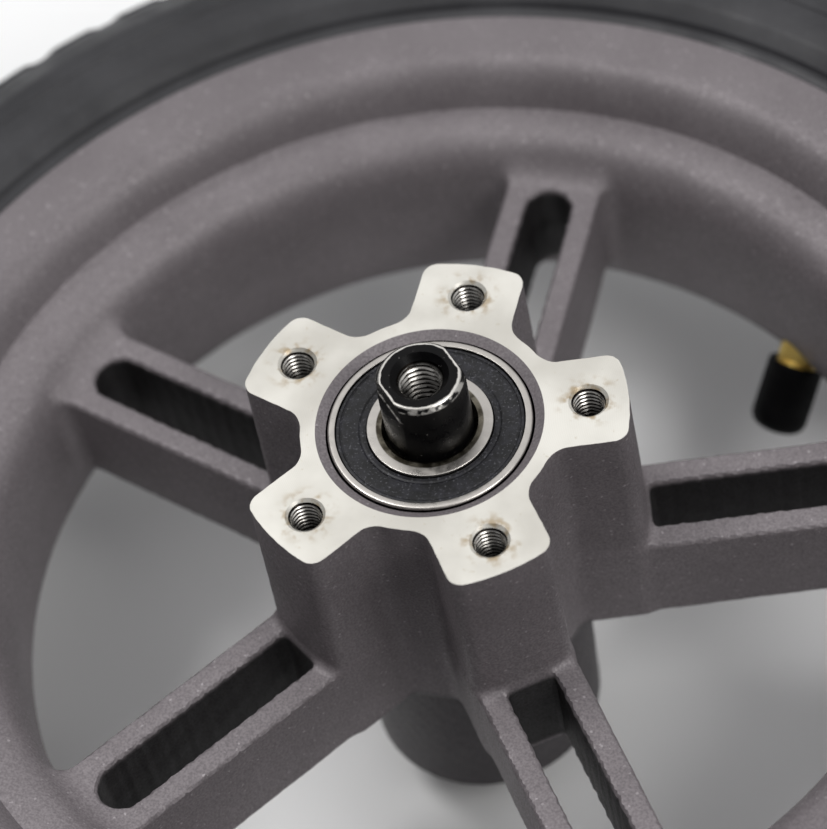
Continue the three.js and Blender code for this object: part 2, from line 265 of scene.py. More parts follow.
def bezier(a, b, c, d, steps):
    """Points of a cubic curve from a to d."""
    t = np.linspace(0, 1, steps + 1)[:, None]
    a, b, c, d = (np.array(p, float) for p in (a, b, c, d))
    return (1 - t) ** 3 * a + 3 * (1 - t) ** 2 * t * b + 3 * (1 - t) * t**2 * c + t**3 * d


def two_halves(near, far):
    """A closed outline: its half above the middle plane, and the mirror image of its half below."""
    return [tuple(p) for p in near] + [(r, -z) for r, z in list(far)[::-1] if z > 0]


def tooth(height, turn, pitch, start=0.0):
    """A thread's height at each point, from 0 at its root to 1 at its crest."""
    phase = (height - start) / pitch - turn / (2 * math.pi)
    return np.clip(np.abs((phase % 1) * 2 - 1) * 1.35 - 0.15, 0, 1)


def place(piece, matrix):
    """Moves a piece's own points, so that its object stays at the origin."""
    piece.data.transform(matrix)
    return piece


def block(name, size, centre, turn=0.0):
    """A box for cutting, turned about Z."""
    bm = bmesh.new()
    bmesh.ops.create_cube(bm, size=1)
    scale = Matrix.Diagonal((*[s * MM for s in size], 1))
    bmesh.ops.transform(bm, matrix=scale, verts=bm.verts)
    mesh = bpy.data.meshes.new(name)
    bm.to_mesh(mesh)
    bm.free()
    mesh.transform(Matrix.Rotation(turn, 4, "Z") @ Matrix.Translation(Vector(centre) * MM))
    return new_object(name, mesh)


# ---- materials --------------------------------------------------------------


def linear(r, g, b):
    """A colour given as 0 to 255 screen values."""
    shares = [c / 255 for c in (r, g, b)]
    return *(((c + 0.055) / 1.055) ** 2.4 if c > 10 / 255 else c / 12.92 for c in shares), 1


class Look:
    """A material whose node tree is built by short calls. Values may be numbers, colours or sockets."""

    def __init__(self, name):
        self.material = bpy.data.materials.new(name)
        self.material.use_nodes = True
        self.tree = self.material.node_tree
        self.shader = self.tree.nodes["Principled BSDF"]
        self.place = self.add("ShaderNodeTexCoord").outputs["Object"]

    def add(self, kind, **inputs):
        node = self.tree.nodes.new(kind)
        for name, value in inputs.items():
            self.feed(node.inputs[name.replace("_", " ")], value)
        return node

    def feed(self, socket, value):
        if isinstance(value, bpy.types.NodeSocket):
            self.tree.links.new(value, socket)
        else:
            socket.default_value = value

    def set(self, **inputs):
        for name, value in inputs.items():
            self.feed(self.shader.inputs[name.replace("_", " ")], value)
        return self

    def math(self, operation, a, b=0.0, c=0.0, clamp=False):
        node = self.tree.nodes.new("ShaderNodeMath")
        node.operation = operation
        node.use_clamp = clamp
        for socket, value in zip(node.inputs, (a, b, c)):
            self.feed(socket, value)
        return node.outputs[0]

    def times(self, a, b):
        return self.math("MULTIPLY", a, b)

    def minus(self, a, b):
        return self.math("SUBTRACT", a, b)

    def size(self, value):
        return self.math("ABSOLUTE", value)

    def fit(self, value, low, high, start=0.0, end=1.0):
        """value mapped smoothly from low..high to start..end."""
        node = self.tree.nodes.new("ShaderNodeMapRange")
        node.interpolation_type = "SMOOTHSTEP"
        for socket, item in zip(node.inputs, (value, low, high, start, end)):
            self.feed(socket, item)
        return node.outputs[0]

    def noise(self, scale, detail=2.0, roughness=0.5, place=None):
        node = self.add("ShaderNodeTexNoise", Scale=scale, Detail=detail, Roughness=roughness)
        self.feed(node.inputs["Vector"], place or self.place)
        return node.outputs["Fac"]

    def cells(self, scale):
        """A random value for each small cell."""
        node = self.add("ShaderNodeTexVoronoi", Scale=scale)
        self.feed(node.inputs["Vector"], self.place)
        return self.add("ShaderNodeSeparateColor", Color=node.outputs["Color"]).outputs[0]

    def mix(self, factor, a, b):
        node = self.tree.nodes.new("ShaderNodeMix")
        node.data_type = "RGBA"
        self.feed(node.inputs["Factor"], factor)
        self.feed(node.inputs["A"], a)
        self.feed(node.inputs["B"], b)
        return node.outputs["Result"]

    def bump(self, height, distance_mm, strength=1.0):
        node = self.add("ShaderNodeBump", Height=height, Distance=distance_mm * MM, Strength=strength)
        self.feed(self.shader.inputs["Normal"], node.outputs["Normal"])
        return self

    def axes(self):
        split = self.add("ShaderNodeSeparateXYZ", Vector=self.place)
        return split.outputs[0], split.outputs[1], split.outputs[2]

    def length(self, a, b):
        return self.math("SQRT", self.math("ADD", self.times(a, a), self.times(b, b)))

    def radius(self):
        x, y, _ = self.axes()
        return self.length(x, y)

    def rings(self, pitch_mm):
        """The fine rings that a lathe tool leaves round the axle's line."""
        return self.math("SINE", self.times(self.radius(), 2 * math.pi / (pitch_mm * MM)))

    def along_spoke(self):
        """Distance along the nearest spoke, and beside its middle."""
        x, y, _ = self.axes()
        turn = self.minus(self.math("ARCTAN2", y, x), FIRST_SPOKE)
        step = self.math("ROUND", self.math("DIVIDE", turn, SPOKE_STEP))
        turn = self.minus(turn, self.times(step, SPOKE_STEP))
        radius = self.radius()
        return self.times(radius, self.math("COSINE", turn)), self.times(radius, self.math("SINE", turn))

    def between(self, value, low_mm, high_mm):
        above = self.math("GREATER_THAN", value, low_mm * MM)
        return self.times(above, self.math("LESS_THAN", value, high_mm * MM))

    def slot_shade(self):
        """Painted shade: 1 on the walls of the slots through the spokes, where little light gets in."""
        along, beside = self.along_spoke()
        _, _, z = self.axes()
        within = self.between(along, SLOT_IN_R - 1, SLOT_OUT_R + 0.6)
        walls = self.times(within, self.between(self.size(beside), -1, SLOT_HALF_W + 0.5))
        dark = self.fit(self.size(z), SLOT_SHADE_Z * MM, (SPOKE_HALF_DEPTH - 0.3) * MM, 0.92, 0)
        return self.times(walls, dark)

    def barrel_shade(self):
        """Painted shade: 0.75 on the barrel under the spokes, and 0 above them."""
        _, _, z = self.axes()
        near_axle = self.math("LESS_THAN", self.radius(), (HUB_R + 2) * MM)
        low = -SPOKE_HALF_DEPTH
        return self.times(near_axle, self.fit(z, low * MM, (low + 2) * MM, 0.75, 0))

    def corners(self, distance_mm):
        """Painted shade mask: 1 in the open and 0 deep in a corner or a hole."""
        return self.add("ShaderNodeAmbientOcclusion", Distance=distance_mm * MM).outputs["AO"]


def coat_look():
    """Warm grey powder coat with fine metallic flakes, a faint orange peel, and painted shade in the spoke
    slots and on the barrel under the spokes.
    """
    look = Look("coat")
    patches = look.noise(45, 3)
    grain = look.noise(2400, 2)
    flake = look.cells(2600)
    base = look.mix(look.fit(patches, 0.3, 0.7), linear(116, 110, 113), linear(127, 121, 124))
    base = look.mix(look.fit(grain, 0.3, 0.7, 0.0, 0.5), base, linear(80, 75, 78))
    base = look.mix(look.fit(flake, 0.98, 1.0, 0.0, 0.42), base, linear(190, 184, 187))
    # painted shade: the slots' inner walls go nearly black
    base = look.mix(look.slot_shade(), base, linear(15, 14, 15))
    # painted shade on the barrel under the spokes
    base = look.mix(look.barrel_shade(), base, linear(40, 38, 41))
    look.set(Base_Color=base, Metallic=look.fit(flake, 0.5, 1.0, 0.2, 0.4))
    look.set(Roughness=look.fit(grain, 0.25, 0.75, 0.46, 0.62))
    return look.bump(look.math("ADD", grain, look.times(look.noise(420), 0.8)), 0.05, 0.5)


def machined_look():
    """Turned bare aluminium with a faint ring pattern and brown stains round the tapped holes."""
    look = Look("machined")
    along, beside = look.along_spoke()
    from_bolt = look.length(look.minus(along, BOLT_CIRCLE_R * MM), beside)
    by_bolt = look.fit(from_bolt, 3.2 * MM, 6.5 * MM, 1, 0)
    stain = look.times(by_bolt, look.fit(look.noise(420, 5), 0.46, 0.66))
    speck = look.fit(look.noise(900, 3), 0.66, 0.76, 0, 0.35)
    rings = look.rings(0.3)
    cloud = look.fit(look.noise(60, 4), 0.3, 0.7)
    base = look.mix(cloud, linear(196, 193, 185), linear(222, 220, 213))
    base = look.mix(look.fit(rings, -1, 1, 0, 0.08), base, linear(160, 156, 148))
    base = look.mix(look.times(stain, 0.75), base, linear(150, 126, 84))
    base = look.mix(speck, base, linear(176, 164, 138))
    look.set(Base_Color=base, Metallic=0.5, Roughness=look.fit(cloud, 0, 1, 0.36, 0.5))
    return look.bump(look.math("ADD", rings, look.times(look.noise(1200), 1.5)), 0.004, 0.6)


def bare_look(name, tone, roughness=0.3, ring_mm=0.25, grime=0.35, corner_shade_mm=0.0, brown_inside_r=0.0):
    """Turned steel or aluminium: fine rings and grime in patches, with painted shade in gaps and a darker,
    browner tone inside a radius.
    """
    look = Look(name)
    rings = look.rings(ring_mm)
    dirt = look.fit(look.noise(260, 5), 0.5, 0.78, 0, grime)
    dark = tuple(c * 0.25 for c in tone[:3]) + (1,)
    base = look.mix(dirt, tone, dark)
    if corner_shade_mm:
        # painted shade in gaps and corners, from ambient occlusion
        base = look.mix(look.fit(look.corners(corner_shade_mm), 0.35, 0.85), linear(12, 11, 11), base)
    if brown_inside_r:
        # a darker, browner tone inside this radius, round the axle
        cloud = look.fit(look.noise(500, 4), 0.35, 0.65)
        stain = look.mix(cloud, linear(58, 54, 46), linear(112, 107, 96))
        outside = look.fit(look.radius(), (brown_inside_r - 0.25) * MM, brown_inside_r * MM)
        base = look.mix(outside, stain, base)
    look.set(Base_Color=base, Metallic=1.0)
    look.set(Roughness=look.fit(look.noise(700, 3), 0.3, 0.7, roughness - 0.06, roughness + 0.1))
    return look.bump(look.math("ADD", rings, look.noise(2500)), 0.003, 0.5)


def thread_look(name, about, crest_r, root_r, top):
    """A cut thread: bright crests, with painted shade in its roots and painted shade deepening further
    down.
    """
    look = Look(name)
    if about:
        along, beside = look.along_spoke()
        radius = look.length(look.minus(along, about * MM), beside)
    else:
        radius = look.radius()
    _, _, z = look.axes()
    root = look.fit(radius, (crest_r + 0.04) * MM, (root_r - 0.22) * MM)
    depth = look.minus(top * MM, look.size(z))
    deep = look.fit(depth, 0.5 * MM, 7.0 * MM, 0.1, 0.85)
    base = look.mix(look.noise(800, 4), linear(206, 203, 198), linear(226, 223, 218))
    # painted shade in the thread's roots and deeper down the hole
    base = look.mix(look.math("MAXIMUM", root, deep), base, linear(20, 17, 15))
    look.set(Base_Color=base, Metallic=1.0, Roughness=look.fit(look.noise(900, 3), 0.3, 0.7, 0.2, 0.36))
    return look.bump(look.noise(2500), 0.003, 0.5)


def rubber_look(name, dark, pale, roughness, grain, dust, cloud=38):
    """Moulded rubber with a fine grain, cloudy tone and dust."""
    look = Look(name)
    dusty = look.fit(look.noise(grain * 1.6, 3), 0.56, 0.74, 0, dust)
    base = look.mix(look.fit(look.noise(cloud, 5), 0.35, 0.7), dark, pale)
    base = look.mix(dusty, base, linear(112, 112, 118))
    shine = look.fit(look.noise(120, 4), 0.3, 0.7, roughness - 0.08, roughness + 0.1)
    look.set(Base_Color=base, Roughness=shine, Specular_IOR_Level=0.35)
    return look.bump(look.noise(grain, 3), 0.03, 0.5)


def plastic_look():
    """Black moulded plastic with a fine matt texture."""
    look = Look("cap_black")
    base = look.mix(look.fit(look.noise(160, 4), 0.4, 0.7), linear(4, 4, 5), linear(9, 9, 10))
    shine = look.fit(look.noise(500), 0.3, 0.7, 0.4, 0.55)
    look.set(Base_Color=base, Specular_IOR_Level=0.08, Roughness=shine)
    return look.bump(look.noise(2200, 2), 0.01, 0.5)


def brass_look():
    """Turned brass, a little tarnished."""
    look = Look("brass")
    tarnish = look.fit(look.noise(240, 5), 0.45, 0.75, 0, 0.45)
    base = look.mix(tarnish, linear(232, 204, 118), linear(168, 128, 58))
    look.set(Base_Color=base, Metallic=1.0, Roughness=look.fit(tarnish, 0, 0.45, 0.42, 0.55))
    return look.bump(look.noise(1800, 2), 0.006, 0.5)


def worn_edges(look, radius, past_flat, depth, rough):
    """Where the axle's blacking is worn bright: ragged lines along the edges of its ends and flats."""
    ragged = look.times(look.minus(rough, 0.5), 0.5 * MM)
    past_end = look.math("MAXIMUM", look.minus(radius, (AXLE_R - TIP_CHAMFER) * MM), past_flat)
    from_top = look.length(look.math("ADD", past_end, ragged), depth)
    from_foot = look.length(look.minus(depth, FLAT_LENGTH * MM), past_flat)
    from_low = look.length(look.minus(radius, AXLE_R * MM), look.minus(depth, TIP_CHAMFER * MM))
    patchy = look.fit(rough, 0.35, 0.6)
    top_line = look.fit(from_top, 0.18 * MM, 0.34 * MM, 1, 0)
    foot_line = look.times(look.fit(from_foot, 0.1 * MM, 0.25 * MM, 0.5, 0), patchy)
    low_line = look.times(look.fit(from_low, 0.05 * MM, 0.14 * MM, 0.5, 0), patchy)
    return look.math("MAXIMUM", look.math("MAXIMUM", top_line, low_line), foot_line)


def black_oxide_look():
    """Blackened steel, worn bright along its edges and in patches on its chamfers."""
    look = Look("black_oxide")
    x, y, z = look.axes()
    radius = look.radius()
    depth = look.minus(AXLE_HALF * MM, look.size(z))
    across = look.math("ADD", look.times(x, math.cos(FLAT_TURN)), look.times(y, math.sin(FLAT_TURN)))
    past_flat = look.minus(look.size(across), FLAT_HALF_W * MM)
    lines = worn_edges(look, radius, past_flat, depth, look.noise(900, 4))
    on_ring = look.between(radius, AXLE_R - TIP_CHAMFER, AXLE_R + 0.1)
    on_chamfer = look.times(on_ring, look.between(depth, -0.1, TIP_CHAMFER))
    worn_side = look.fit(look.minus(x, y), 2.0 * MM, 9.0 * MM)
    patch = look.fit(look.noise(420, 4), 0.52, 0.62, 0, 0.7)
    patch = look.times(look.times(on_chamfer, worn_side), patch)
    scratch = look.fit(look.noise(1500, 4), 0.7, 0.76, 0, 0.35)
    worn = look.math("MAXIMUM", lines, look.math("MAXIMUM", patch, scratch), clamp=True)
    base = look.mix(look.noise(300, 4), linear(4, 4, 5), linear(11, 10, 11))
    look.set(Base_Color=look.mix(worn, base, linear(214, 211, 206)), Specular_IOR_Level=0.12)
    look.set(Metallic=look.fit(worn, 0, 1, 0.05, 1.0))
    look.set(Roughness=look.fit(look.noise(600, 3), 0.3, 0.7, 0.26, 0.42))
    return look.bump(look.noise(1600, 3), 0.01, 0.5)


def floor_look():
    """Pale matt card."""
    look = Look("floor")
    base = look.mix(look.noise(3, 3), linear(238, 239, 240), linear(246, 246, 246))
    look.set(Base_Color=base, Roughness=0.9)
    return look.bump(look.noise(180, 3), 0.05, 0.3)


COAT = coat_look().material
MACHINED = machined_look().material
BORE = bare_look("bored_aluminium", linear(150, 146, 142), 0.34, corner_shade_mm=1.2).material
BOLT_THREAD = thread_look("bolt_thread", BOLT_CIRCLE_R, 2.5, 3.0, HUB_HALF).material
AXLE_THREAD = thread_look("axle_thread", 0.0, 3.35, 4.03, AXLE_HALF).material
# ring steel: painted shade reaching 0.7 mm into its gaps; darker and browner inside 9.3 mm
RING_STEEL = bare_look("ring_steel", linear(184, 180, 175), 0.32, 0.22, 0.12, 0.7, 9.3).material
BALL_STEEL = bare_look("ball_steel", linear(222, 222, 222), 0.12, 0.6, 0.1).material
ZINC = bare_look("zinc_steel", linear(176, 178, 180), 0.36, 0.4, 0.3).material
OXIDE = black_oxide_look().material
SEAL = rubber_look("seal_rubber", linear(9, 9, 12), linear(30, 30, 36), 0.5, 1500, 0.5, 700).material
TYRE = rubber_look("tyre_rubber", linear(40, 40, 43), linear(54, 54, 57), 0.5, 700, 0.08).material
TUBE = rubber_look("tube_rubber", linear(22, 22, 22), linear(34, 34, 34), 0.6, 500, 0.15).material
PLASTIC = plastic_look().material
BRASS = brass_look().material


def stand_for(piece, node, slot, *materials):
    """The piece takes a CAD node's place, its body and its materials. Its slot argument is not used."""
    piece.data.materials.clear()
    for material in materials:
        piece.data.materials.append(material)
    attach(piece, BODY_OF[node])
    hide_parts(node)
    return piece


def paint(piece, rules):
    """Gives each face the number of the first rule its centre (in millimetres) and normal pass."""
    mesh = piece.data
    count = len(mesh.polygons)
    centre, normal = np.zeros(count * 3), np.zeros(count * 3)
    mesh.polygons.foreach_get("center", centre)
    mesh.polygons.foreach_get("normal", normal)
    centre = centre.reshape(-1, 3) / MM
    normal = normal.reshape(-1, 3)
    index = np.zeros(count, np.int32)
    for number, rule in reversed(list(enumerate(rules, 1))):
        index[rule(centre, normal)] = number
    mesh.polygons.foreach_set("material_index", index)
    mesh.update()


# ---- the casting's inside: hub, spokes and well, as one distance field ------


def round_union(a, b, size):
    """Two distances joined, with a fillet of this size where they meet."""
    corner = np.hypot(np.maximum(size - a, 0), np.maximum(size - b, 0))
    return np.maximum(size, np.minimum(a, b)) - corner


def round_common(a, b, size):
    """What two distances have in common, with its edge rounded to this size."""
    corner = np.hypot(np.maximum(size + a, 0), np.maximum(size + b, 0))
    return np.minimum(-size, np.maximum(a, b)) + corner


def along_spoke(x, y):
    """Radius, distance along the nearest spoke and distance beside its middle."""
    radius = np.hypot(x, y)
    turn = np.arctan2(y, x) - FIRST_SPOKE
    turn -= SPOKE_STEP * np.round(turn / SPOKE_STEP)
    return radius, radius * np.cos(turn), np.abs(radius * np.sin(turn))


def cast_wobble(x, y, z):
    """The slight waviness of a sand-cast face."""
    slow = np.sin(0.31 * x + 1.3) * np.sin(0.27 * y + 0.4) * np.sin(0.35 * z + 2.1)
    fast = np.sin(1.9 * x + 0.7 * z) * np.sin(2.1 * y + 0.2) + np.sin(1.3 * x - 1.6 * y + 1.1 * z)
    return 0.05 * slow + 0.022 * fast


WELL_BACK = [(93.2, 12.6), (85.3, 7.5), (85.3, 0)]


def well_half(pull, crest, lean):
    """Half of the well's section: its round inner side, its crest and its back."""
    inner_side = bezier((WELL_IN_R, 0), (WELL_IN_R, pull), lean, crest, 14)
    return [*inner_side, (crest[0] + 0.8, crest[1] + 0.1), *WELL_BACK]


# The well's section as a table of distances over (radius, height).
TABLE_STEP = 0.2
TABLE_LOW = (76.0, -21.0)
TABLE_SIZE = (95, 211)


def outline_distance(outline, x, y):
    """Signed distance to a closed outline, negative inside."""
    nearest = np.full(x.shape, 1e9)
    inside = np.zeros(x.shape, bool)
    for (ax, ay), (bx, by) in zip(outline, outline[1:] + outline[:1]):
        ex, ey = bx - ax, by - ay
        share = np.clip(((x - ax) * ex + (y - ay) * ey) / (ex * ex + ey * ey), 0, 1)
        nearest = np.minimum(nearest, (x - ax - ex * share) ** 2 + (y - ay - ey * share) ** 2)
        if ay != by:
            inside ^= ((ay > y) != (by > y)) & (x < ax + (y - ay) * ex / ey)
    return np.where(inside, -1, 1) * np.sqrt(nearest)


def well_table():
    r = TABLE_LOW[0] + TABLE_STEP * np.arange(TABLE_SIZE[0])
    z = TABLE_LOW[1] + TABLE_STEP * np.arange(TABLE_SIZE[1])
    grid_r, grid_z = np.meshgrid(r, z, indexing="ij")
    near, far = well_half(11, CREST, (82.2, 17.2)), well_half(17, FAR_CREST, (79.8, 20))
    return outline_distance(two_halves(near, far), grid_r, grid_z)


WELL_TABLE = well_table()


def well_distance(radius, z):
    """Distance to the rim well's band, read from its table and carried on past the table's edges."""
    u = (radius - TABLE_LOW[0]) / TABLE_STEP
    v = (z - TABLE_LOW[1]) / TABLE_STEP
    inner_u = np.clip(u, 0, TABLE_SIZE[0] - 1.001)
    inner_v = np.clip(v, 0, TABLE_SIZE[1] - 1.001)
    i, j = inner_u.astype(np.int32), inner_v.astype(np.int32)
    a, b = inner_u - i, inner_v - j
    near = WELL_TABLE[i, j] * (1 - a) * (1 - b) + WELL_TABLE[i + 1, j] * a * (1 - b)
    near += WELL_TABLE[i, j + 1] * (1 - a) * b + WELL_TABLE[i + 1, j + 1] * a * b
    return near + TABLE_STEP * np.hypot(u - inner_u, v - inner_v)


def hub_distance(radius, beside, z):
    """The five-lobed hub above the spokes' undersides, and the plain barrel below."""
    fall = np.clip((HUB_HALF - z) / (HUB_HALF - SPOKE_HALF_DEPTH), 0, 1)
    lobe = round_common(
        beside - LOBE_HALF_W - 0.3 * fall, radius - LOBE_TIP_R - LOBE_DRAFT * fall, LOBE_CORNER_R
    )
    lobed = round_union(radius - HUB_R, lobe, LOBE_FILLET_R)
    lobed = round_common(lobed, -SPOKE_HALF_DEPTH - z, SPOKE_EDGE_R)
    lower = np.clip((-SPOKE_HALF_DEPTH - z) / (HUB_HALF - SPOKE_HALF_DEPTH), -0.5, 1)
    barrel = radius - BARREL_TOP_R + (BARREL_TOP_R - BARREL_END_R) * lower
    both = round_union(lobed, np.maximum(barrel, z), 0.8)
    return np.maximum(both, np.abs(z) - HUB_HALF - 1.5)


def slot_distance(along, beside, z):
    """The long slot through a spoke: square at the hub, round at the rim."""
    half = SLOT_HALF_W - 0.2 * (1 - np.abs(z) / SPOKE_HALF_DEPTH)
    rim_end = np.hypot(np.maximum(along - SLOT_OUT_R + SLOT_HALF_W, 0), beside) - half
    side, end = beside - half + SLOT_CORNER_R, SLOT_IN_R + SLOT_CORNER_R - along
    hub_end = np.hypot(np.maximum(side, 0), np.maximum(end, 0)) + np.minimum(np.maximum(side, end), 0)
    ragged = 0.07 * np.sin(1.9 * along) + 0.05 * np.sin(3.3 * along + 1.0)
    return np.where(along > (SLOT_IN_R + SLOT_OUT_R) / 2, rim_end, hub_end - SLOT_CORNER_R) + ragged


def casting_distance(x, y, z):
    """Distance to the cast hub, spokes and well, before machining."""
    radius, along, beside = along_spoke(x, y)
    height = np.abs(z)
    width = SPOKE_HALF_W + SPOKE_DRAFT * (1 - height / SPOKE_HALF_DEPTH)
    spoke = round_common(beside - width, height - SPOKE_HALF_DEPTH, SPOKE_EDGE_R)
    spoke = np.maximum(spoke, radius - SPOKE_END_R)
    body = round_union(hub_distance(radius, beside, z), spoke, SPOKE_FOOT_R)
    body = round_union(body, well_distance(radius, z), WINDOW_CORNER_R)
    body = round_common(body, -slot_distance(along, beside, z), SLOT_EDGE_R)
    return body + cast_wobble(x, y, z)


FIELD_STEP = 0.85
FIELD_LOW = (-95.0, -95.0, -46.0)
FIELD_HIGH = (95.0, 95.0, 46.0)
SETTLE_STEPS = 4


def settle(points, distance):
    """Moves points onto the surface where the distance is zero."""
    eps = 0.02
    for _ in range(SETTLE_STEPS):
        x, y, z = points.T
        here = distance(x, y, z)
        slope = np.stack(
            [
                distance(x + eps, y, z) - distance(x - eps, y, z),
                distance(x, y + eps, z) - distance(x, y - eps, z),
                distance(x, y, z + eps) - distance(x, y, z - eps),
            ],
            -1,
        ) / (2 * eps)
        size = np.maximum((slope**2).sum(1), 0.2)
        points = points - np.clip(here / size, -0.5, 0.5)[:, None] * slope
    return points


def cast_inside():
    """The hub, spokes and well as a mesh of even quads that lie on the distance field's surface."""
    axes = [np.arange(lo, hi, FIELD_STEP) for lo, hi in zip(FIELD_LOW, FIELD_HIGH)]
    x, y = np.meshgrid(axes[0], axes[1], indexing="ij")
    field = np.stack([casting_distance(x, y, np.full_like(x, z)) for z in axes[2]], -1)
    grid = openvdb.FloatGrid(background=10.0)
    grid.copyFromArray(field.astype(np.float32))
    points, quads = grid.convertToQuads(isovalue=0.0)
    points = np.asarray(points, float) * FIELD_STEP + np.array(FIELD_LOW)
    return new_piece("cast_wheel", settle(points, casting_distance), quads.tolist())


# ---- wheel casting ----------------------------------------------------------
RIM_SEGMENTS = 288


def rim_ring():
    """The rim's flanges, walls and bead seats. Its hidden inner side lies inside the cast well."""
    near = bezier(CREST, (94.2, 21.6), (96.4, RIM_HALF), (100.5, RIM_HALF), 10)
    far = bezier(FAR_CREST, (94.0, 22.8), (96.4, RIM_HALF), (100.5, RIM_HALF), 10)
    inside = [(82.8, 0), (83.2, 8.5), (86.6, 13.4), (91.7, 15.4)]
    outside = rounded(
        [
            (104, RIM_HALF, 0), (FLANGE_R, RIM_HALF, 0.6), (FLANGE_R, 22.1, 0.6), (SEAT_R, 22.1, 0.8),
            (SEAT_R - 0.5, 14, 2), (WELL_OUT_R, 9, 2), (WELL_OUT_R, 0, 0),
        ],
        closed=False,
    )
    return turned("rim", two_halves([*inside, *near, *outside], [*inside, *far, *outside]), RIM_SEGMENTS)


def bore_cutter():
    """The through bore, the two bearing seats and their coned mouths."""
    seat_end = BEARING_Z - BEARING_HALF - 0.1
    seat_r = BEARING_R + 0.05
    upper = [
        (OUTER_LAND_R - 1, 0), (OUTER_LAND_R - 1, seat_end), (seat_r, seat_end),
        (seat_r, HUB_HALF - 1.6), (17.85, HUB_HALF - 1.3), (17.85, HUB_HALF - 1.05),
        (19.5, HUB_HALF), (20.6, HUB_HALF + 2), (0, HUB_HALF + 2),
    ]
    lower = [(r, -z) for r, z in reversed(upper[1:])]
    return turned("bore", lower + upper, 128)


def bolt_cutter(k):
    """An M6 tapped hole with a small coned mouth."""
    bottom, top = HUB_HALF - BOLT_DEPTH, HUB_HALF + 1.0

    def radius(z, turn):
        sink = 3.45 + (z - HUB_HALF)
        thread = 2.5 + 0.5 * tooth(z, turn, 1.0, bottom)
        return np.maximum(thread, np.where(z > HUB_HALF - 2, sink, 0))

    hole = spun("bolt_hole", np.linspace(bottom, top, 145), radius, 40)
    turn = FIRST_SPOKE + k * SPOKE_STEP
    shift = Vector((math.cos(turn), math.sin(turn), 0)) * BOLT_CIRCLE_R * MM
    return place(hole, Matrix.Translation(shift))


def near_bolt(centre):
    """Distance from the nearest bolt hole's axis."""
    _, along, beside = along_spoke(centre[:, 0], centre[:, 1])
    return np.hypot(along - BOLT_CIRCLE_R, beside)


def clear_valve(body):
    """Room for the valve's grommet, foot, elbow and leg."""
    start, end = GROMMET_FROM - 0.3, FOOT_LENGTH + 3
    foot_room = [
        (0, 0), (STEM_CLEAR_R, 0), (STEM_CLEAR_R, start), (VALVE_HOLE_R, start), (VALVE_HOLE_R, end),
        (0, end),
    ]
    combine(body, place(turned("foot_room", foot_room, 48), foot_matrix()))
    combine(body, place(rod("leg_room", STEM_CLEAR_R, 0, 8, 48), leg_matrix()))
    combine(body, elbow(STEM_CLEAR_R))


def is_machined(centre, normal):
    """The hub's two flat ends, and the mouths of the bolt holes."""
    height = np.abs(centre[:, 2])
    flat = (np.abs(height - HUB_HALF) < 0.02) & (np.abs(normal[:, 2]) > 0.99)
    return flat | (near_bolt(centre) < 3.7) & (centre[:, 2] > HUB_HALF - 0.6)


def is_bolt_thread(centre, normal):
    depth = HUB_HALF - centre[:, 2]
    return (near_bolt(centre) < 3.6) & (depth < BOLT_DEPTH + 0.5) & (depth > 0)


def is_bored(centre, normal):
    radius = np.hypot(centre[:, 0], centre[:, 1])
    return (radius < 17.9) & (np.abs(centre[:, 2]) < HUB_HALF - 0.95)


def wheel_casting():
    """The cast wheel, machined at the hub and cut for the valve."""
    body = cast_inside()
    combine(body, rim_ring(), "UNION")
    slab = 12.0
    combine(body, block("top", (90, 90, slab), (0, 0, HUB_HALF + slab / 2)))
    combine(body, block("bottom", (90, 90, slab), (0, 0, -HUB_HALF - slab / 2)))
    combine(body, bore_cutter())
    for k in range(SPOKES):
        combine(body, bolt_cutter(k))
    clear_valve(body)
    tidy(body, 28)
    stand_for(body, "wheel_casting", "coated_casting", COAT, MACHINED, BOLT_THREAD, BORE)
    paint(body, [is_machined, is_bolt_thread, is_bored])


# ---- tyre and tube ----------------------------------------------------------
TYRE_SEGMENTS = 600
SIDE_CUTS = 60
GROOVE_DEPTH = 1.9


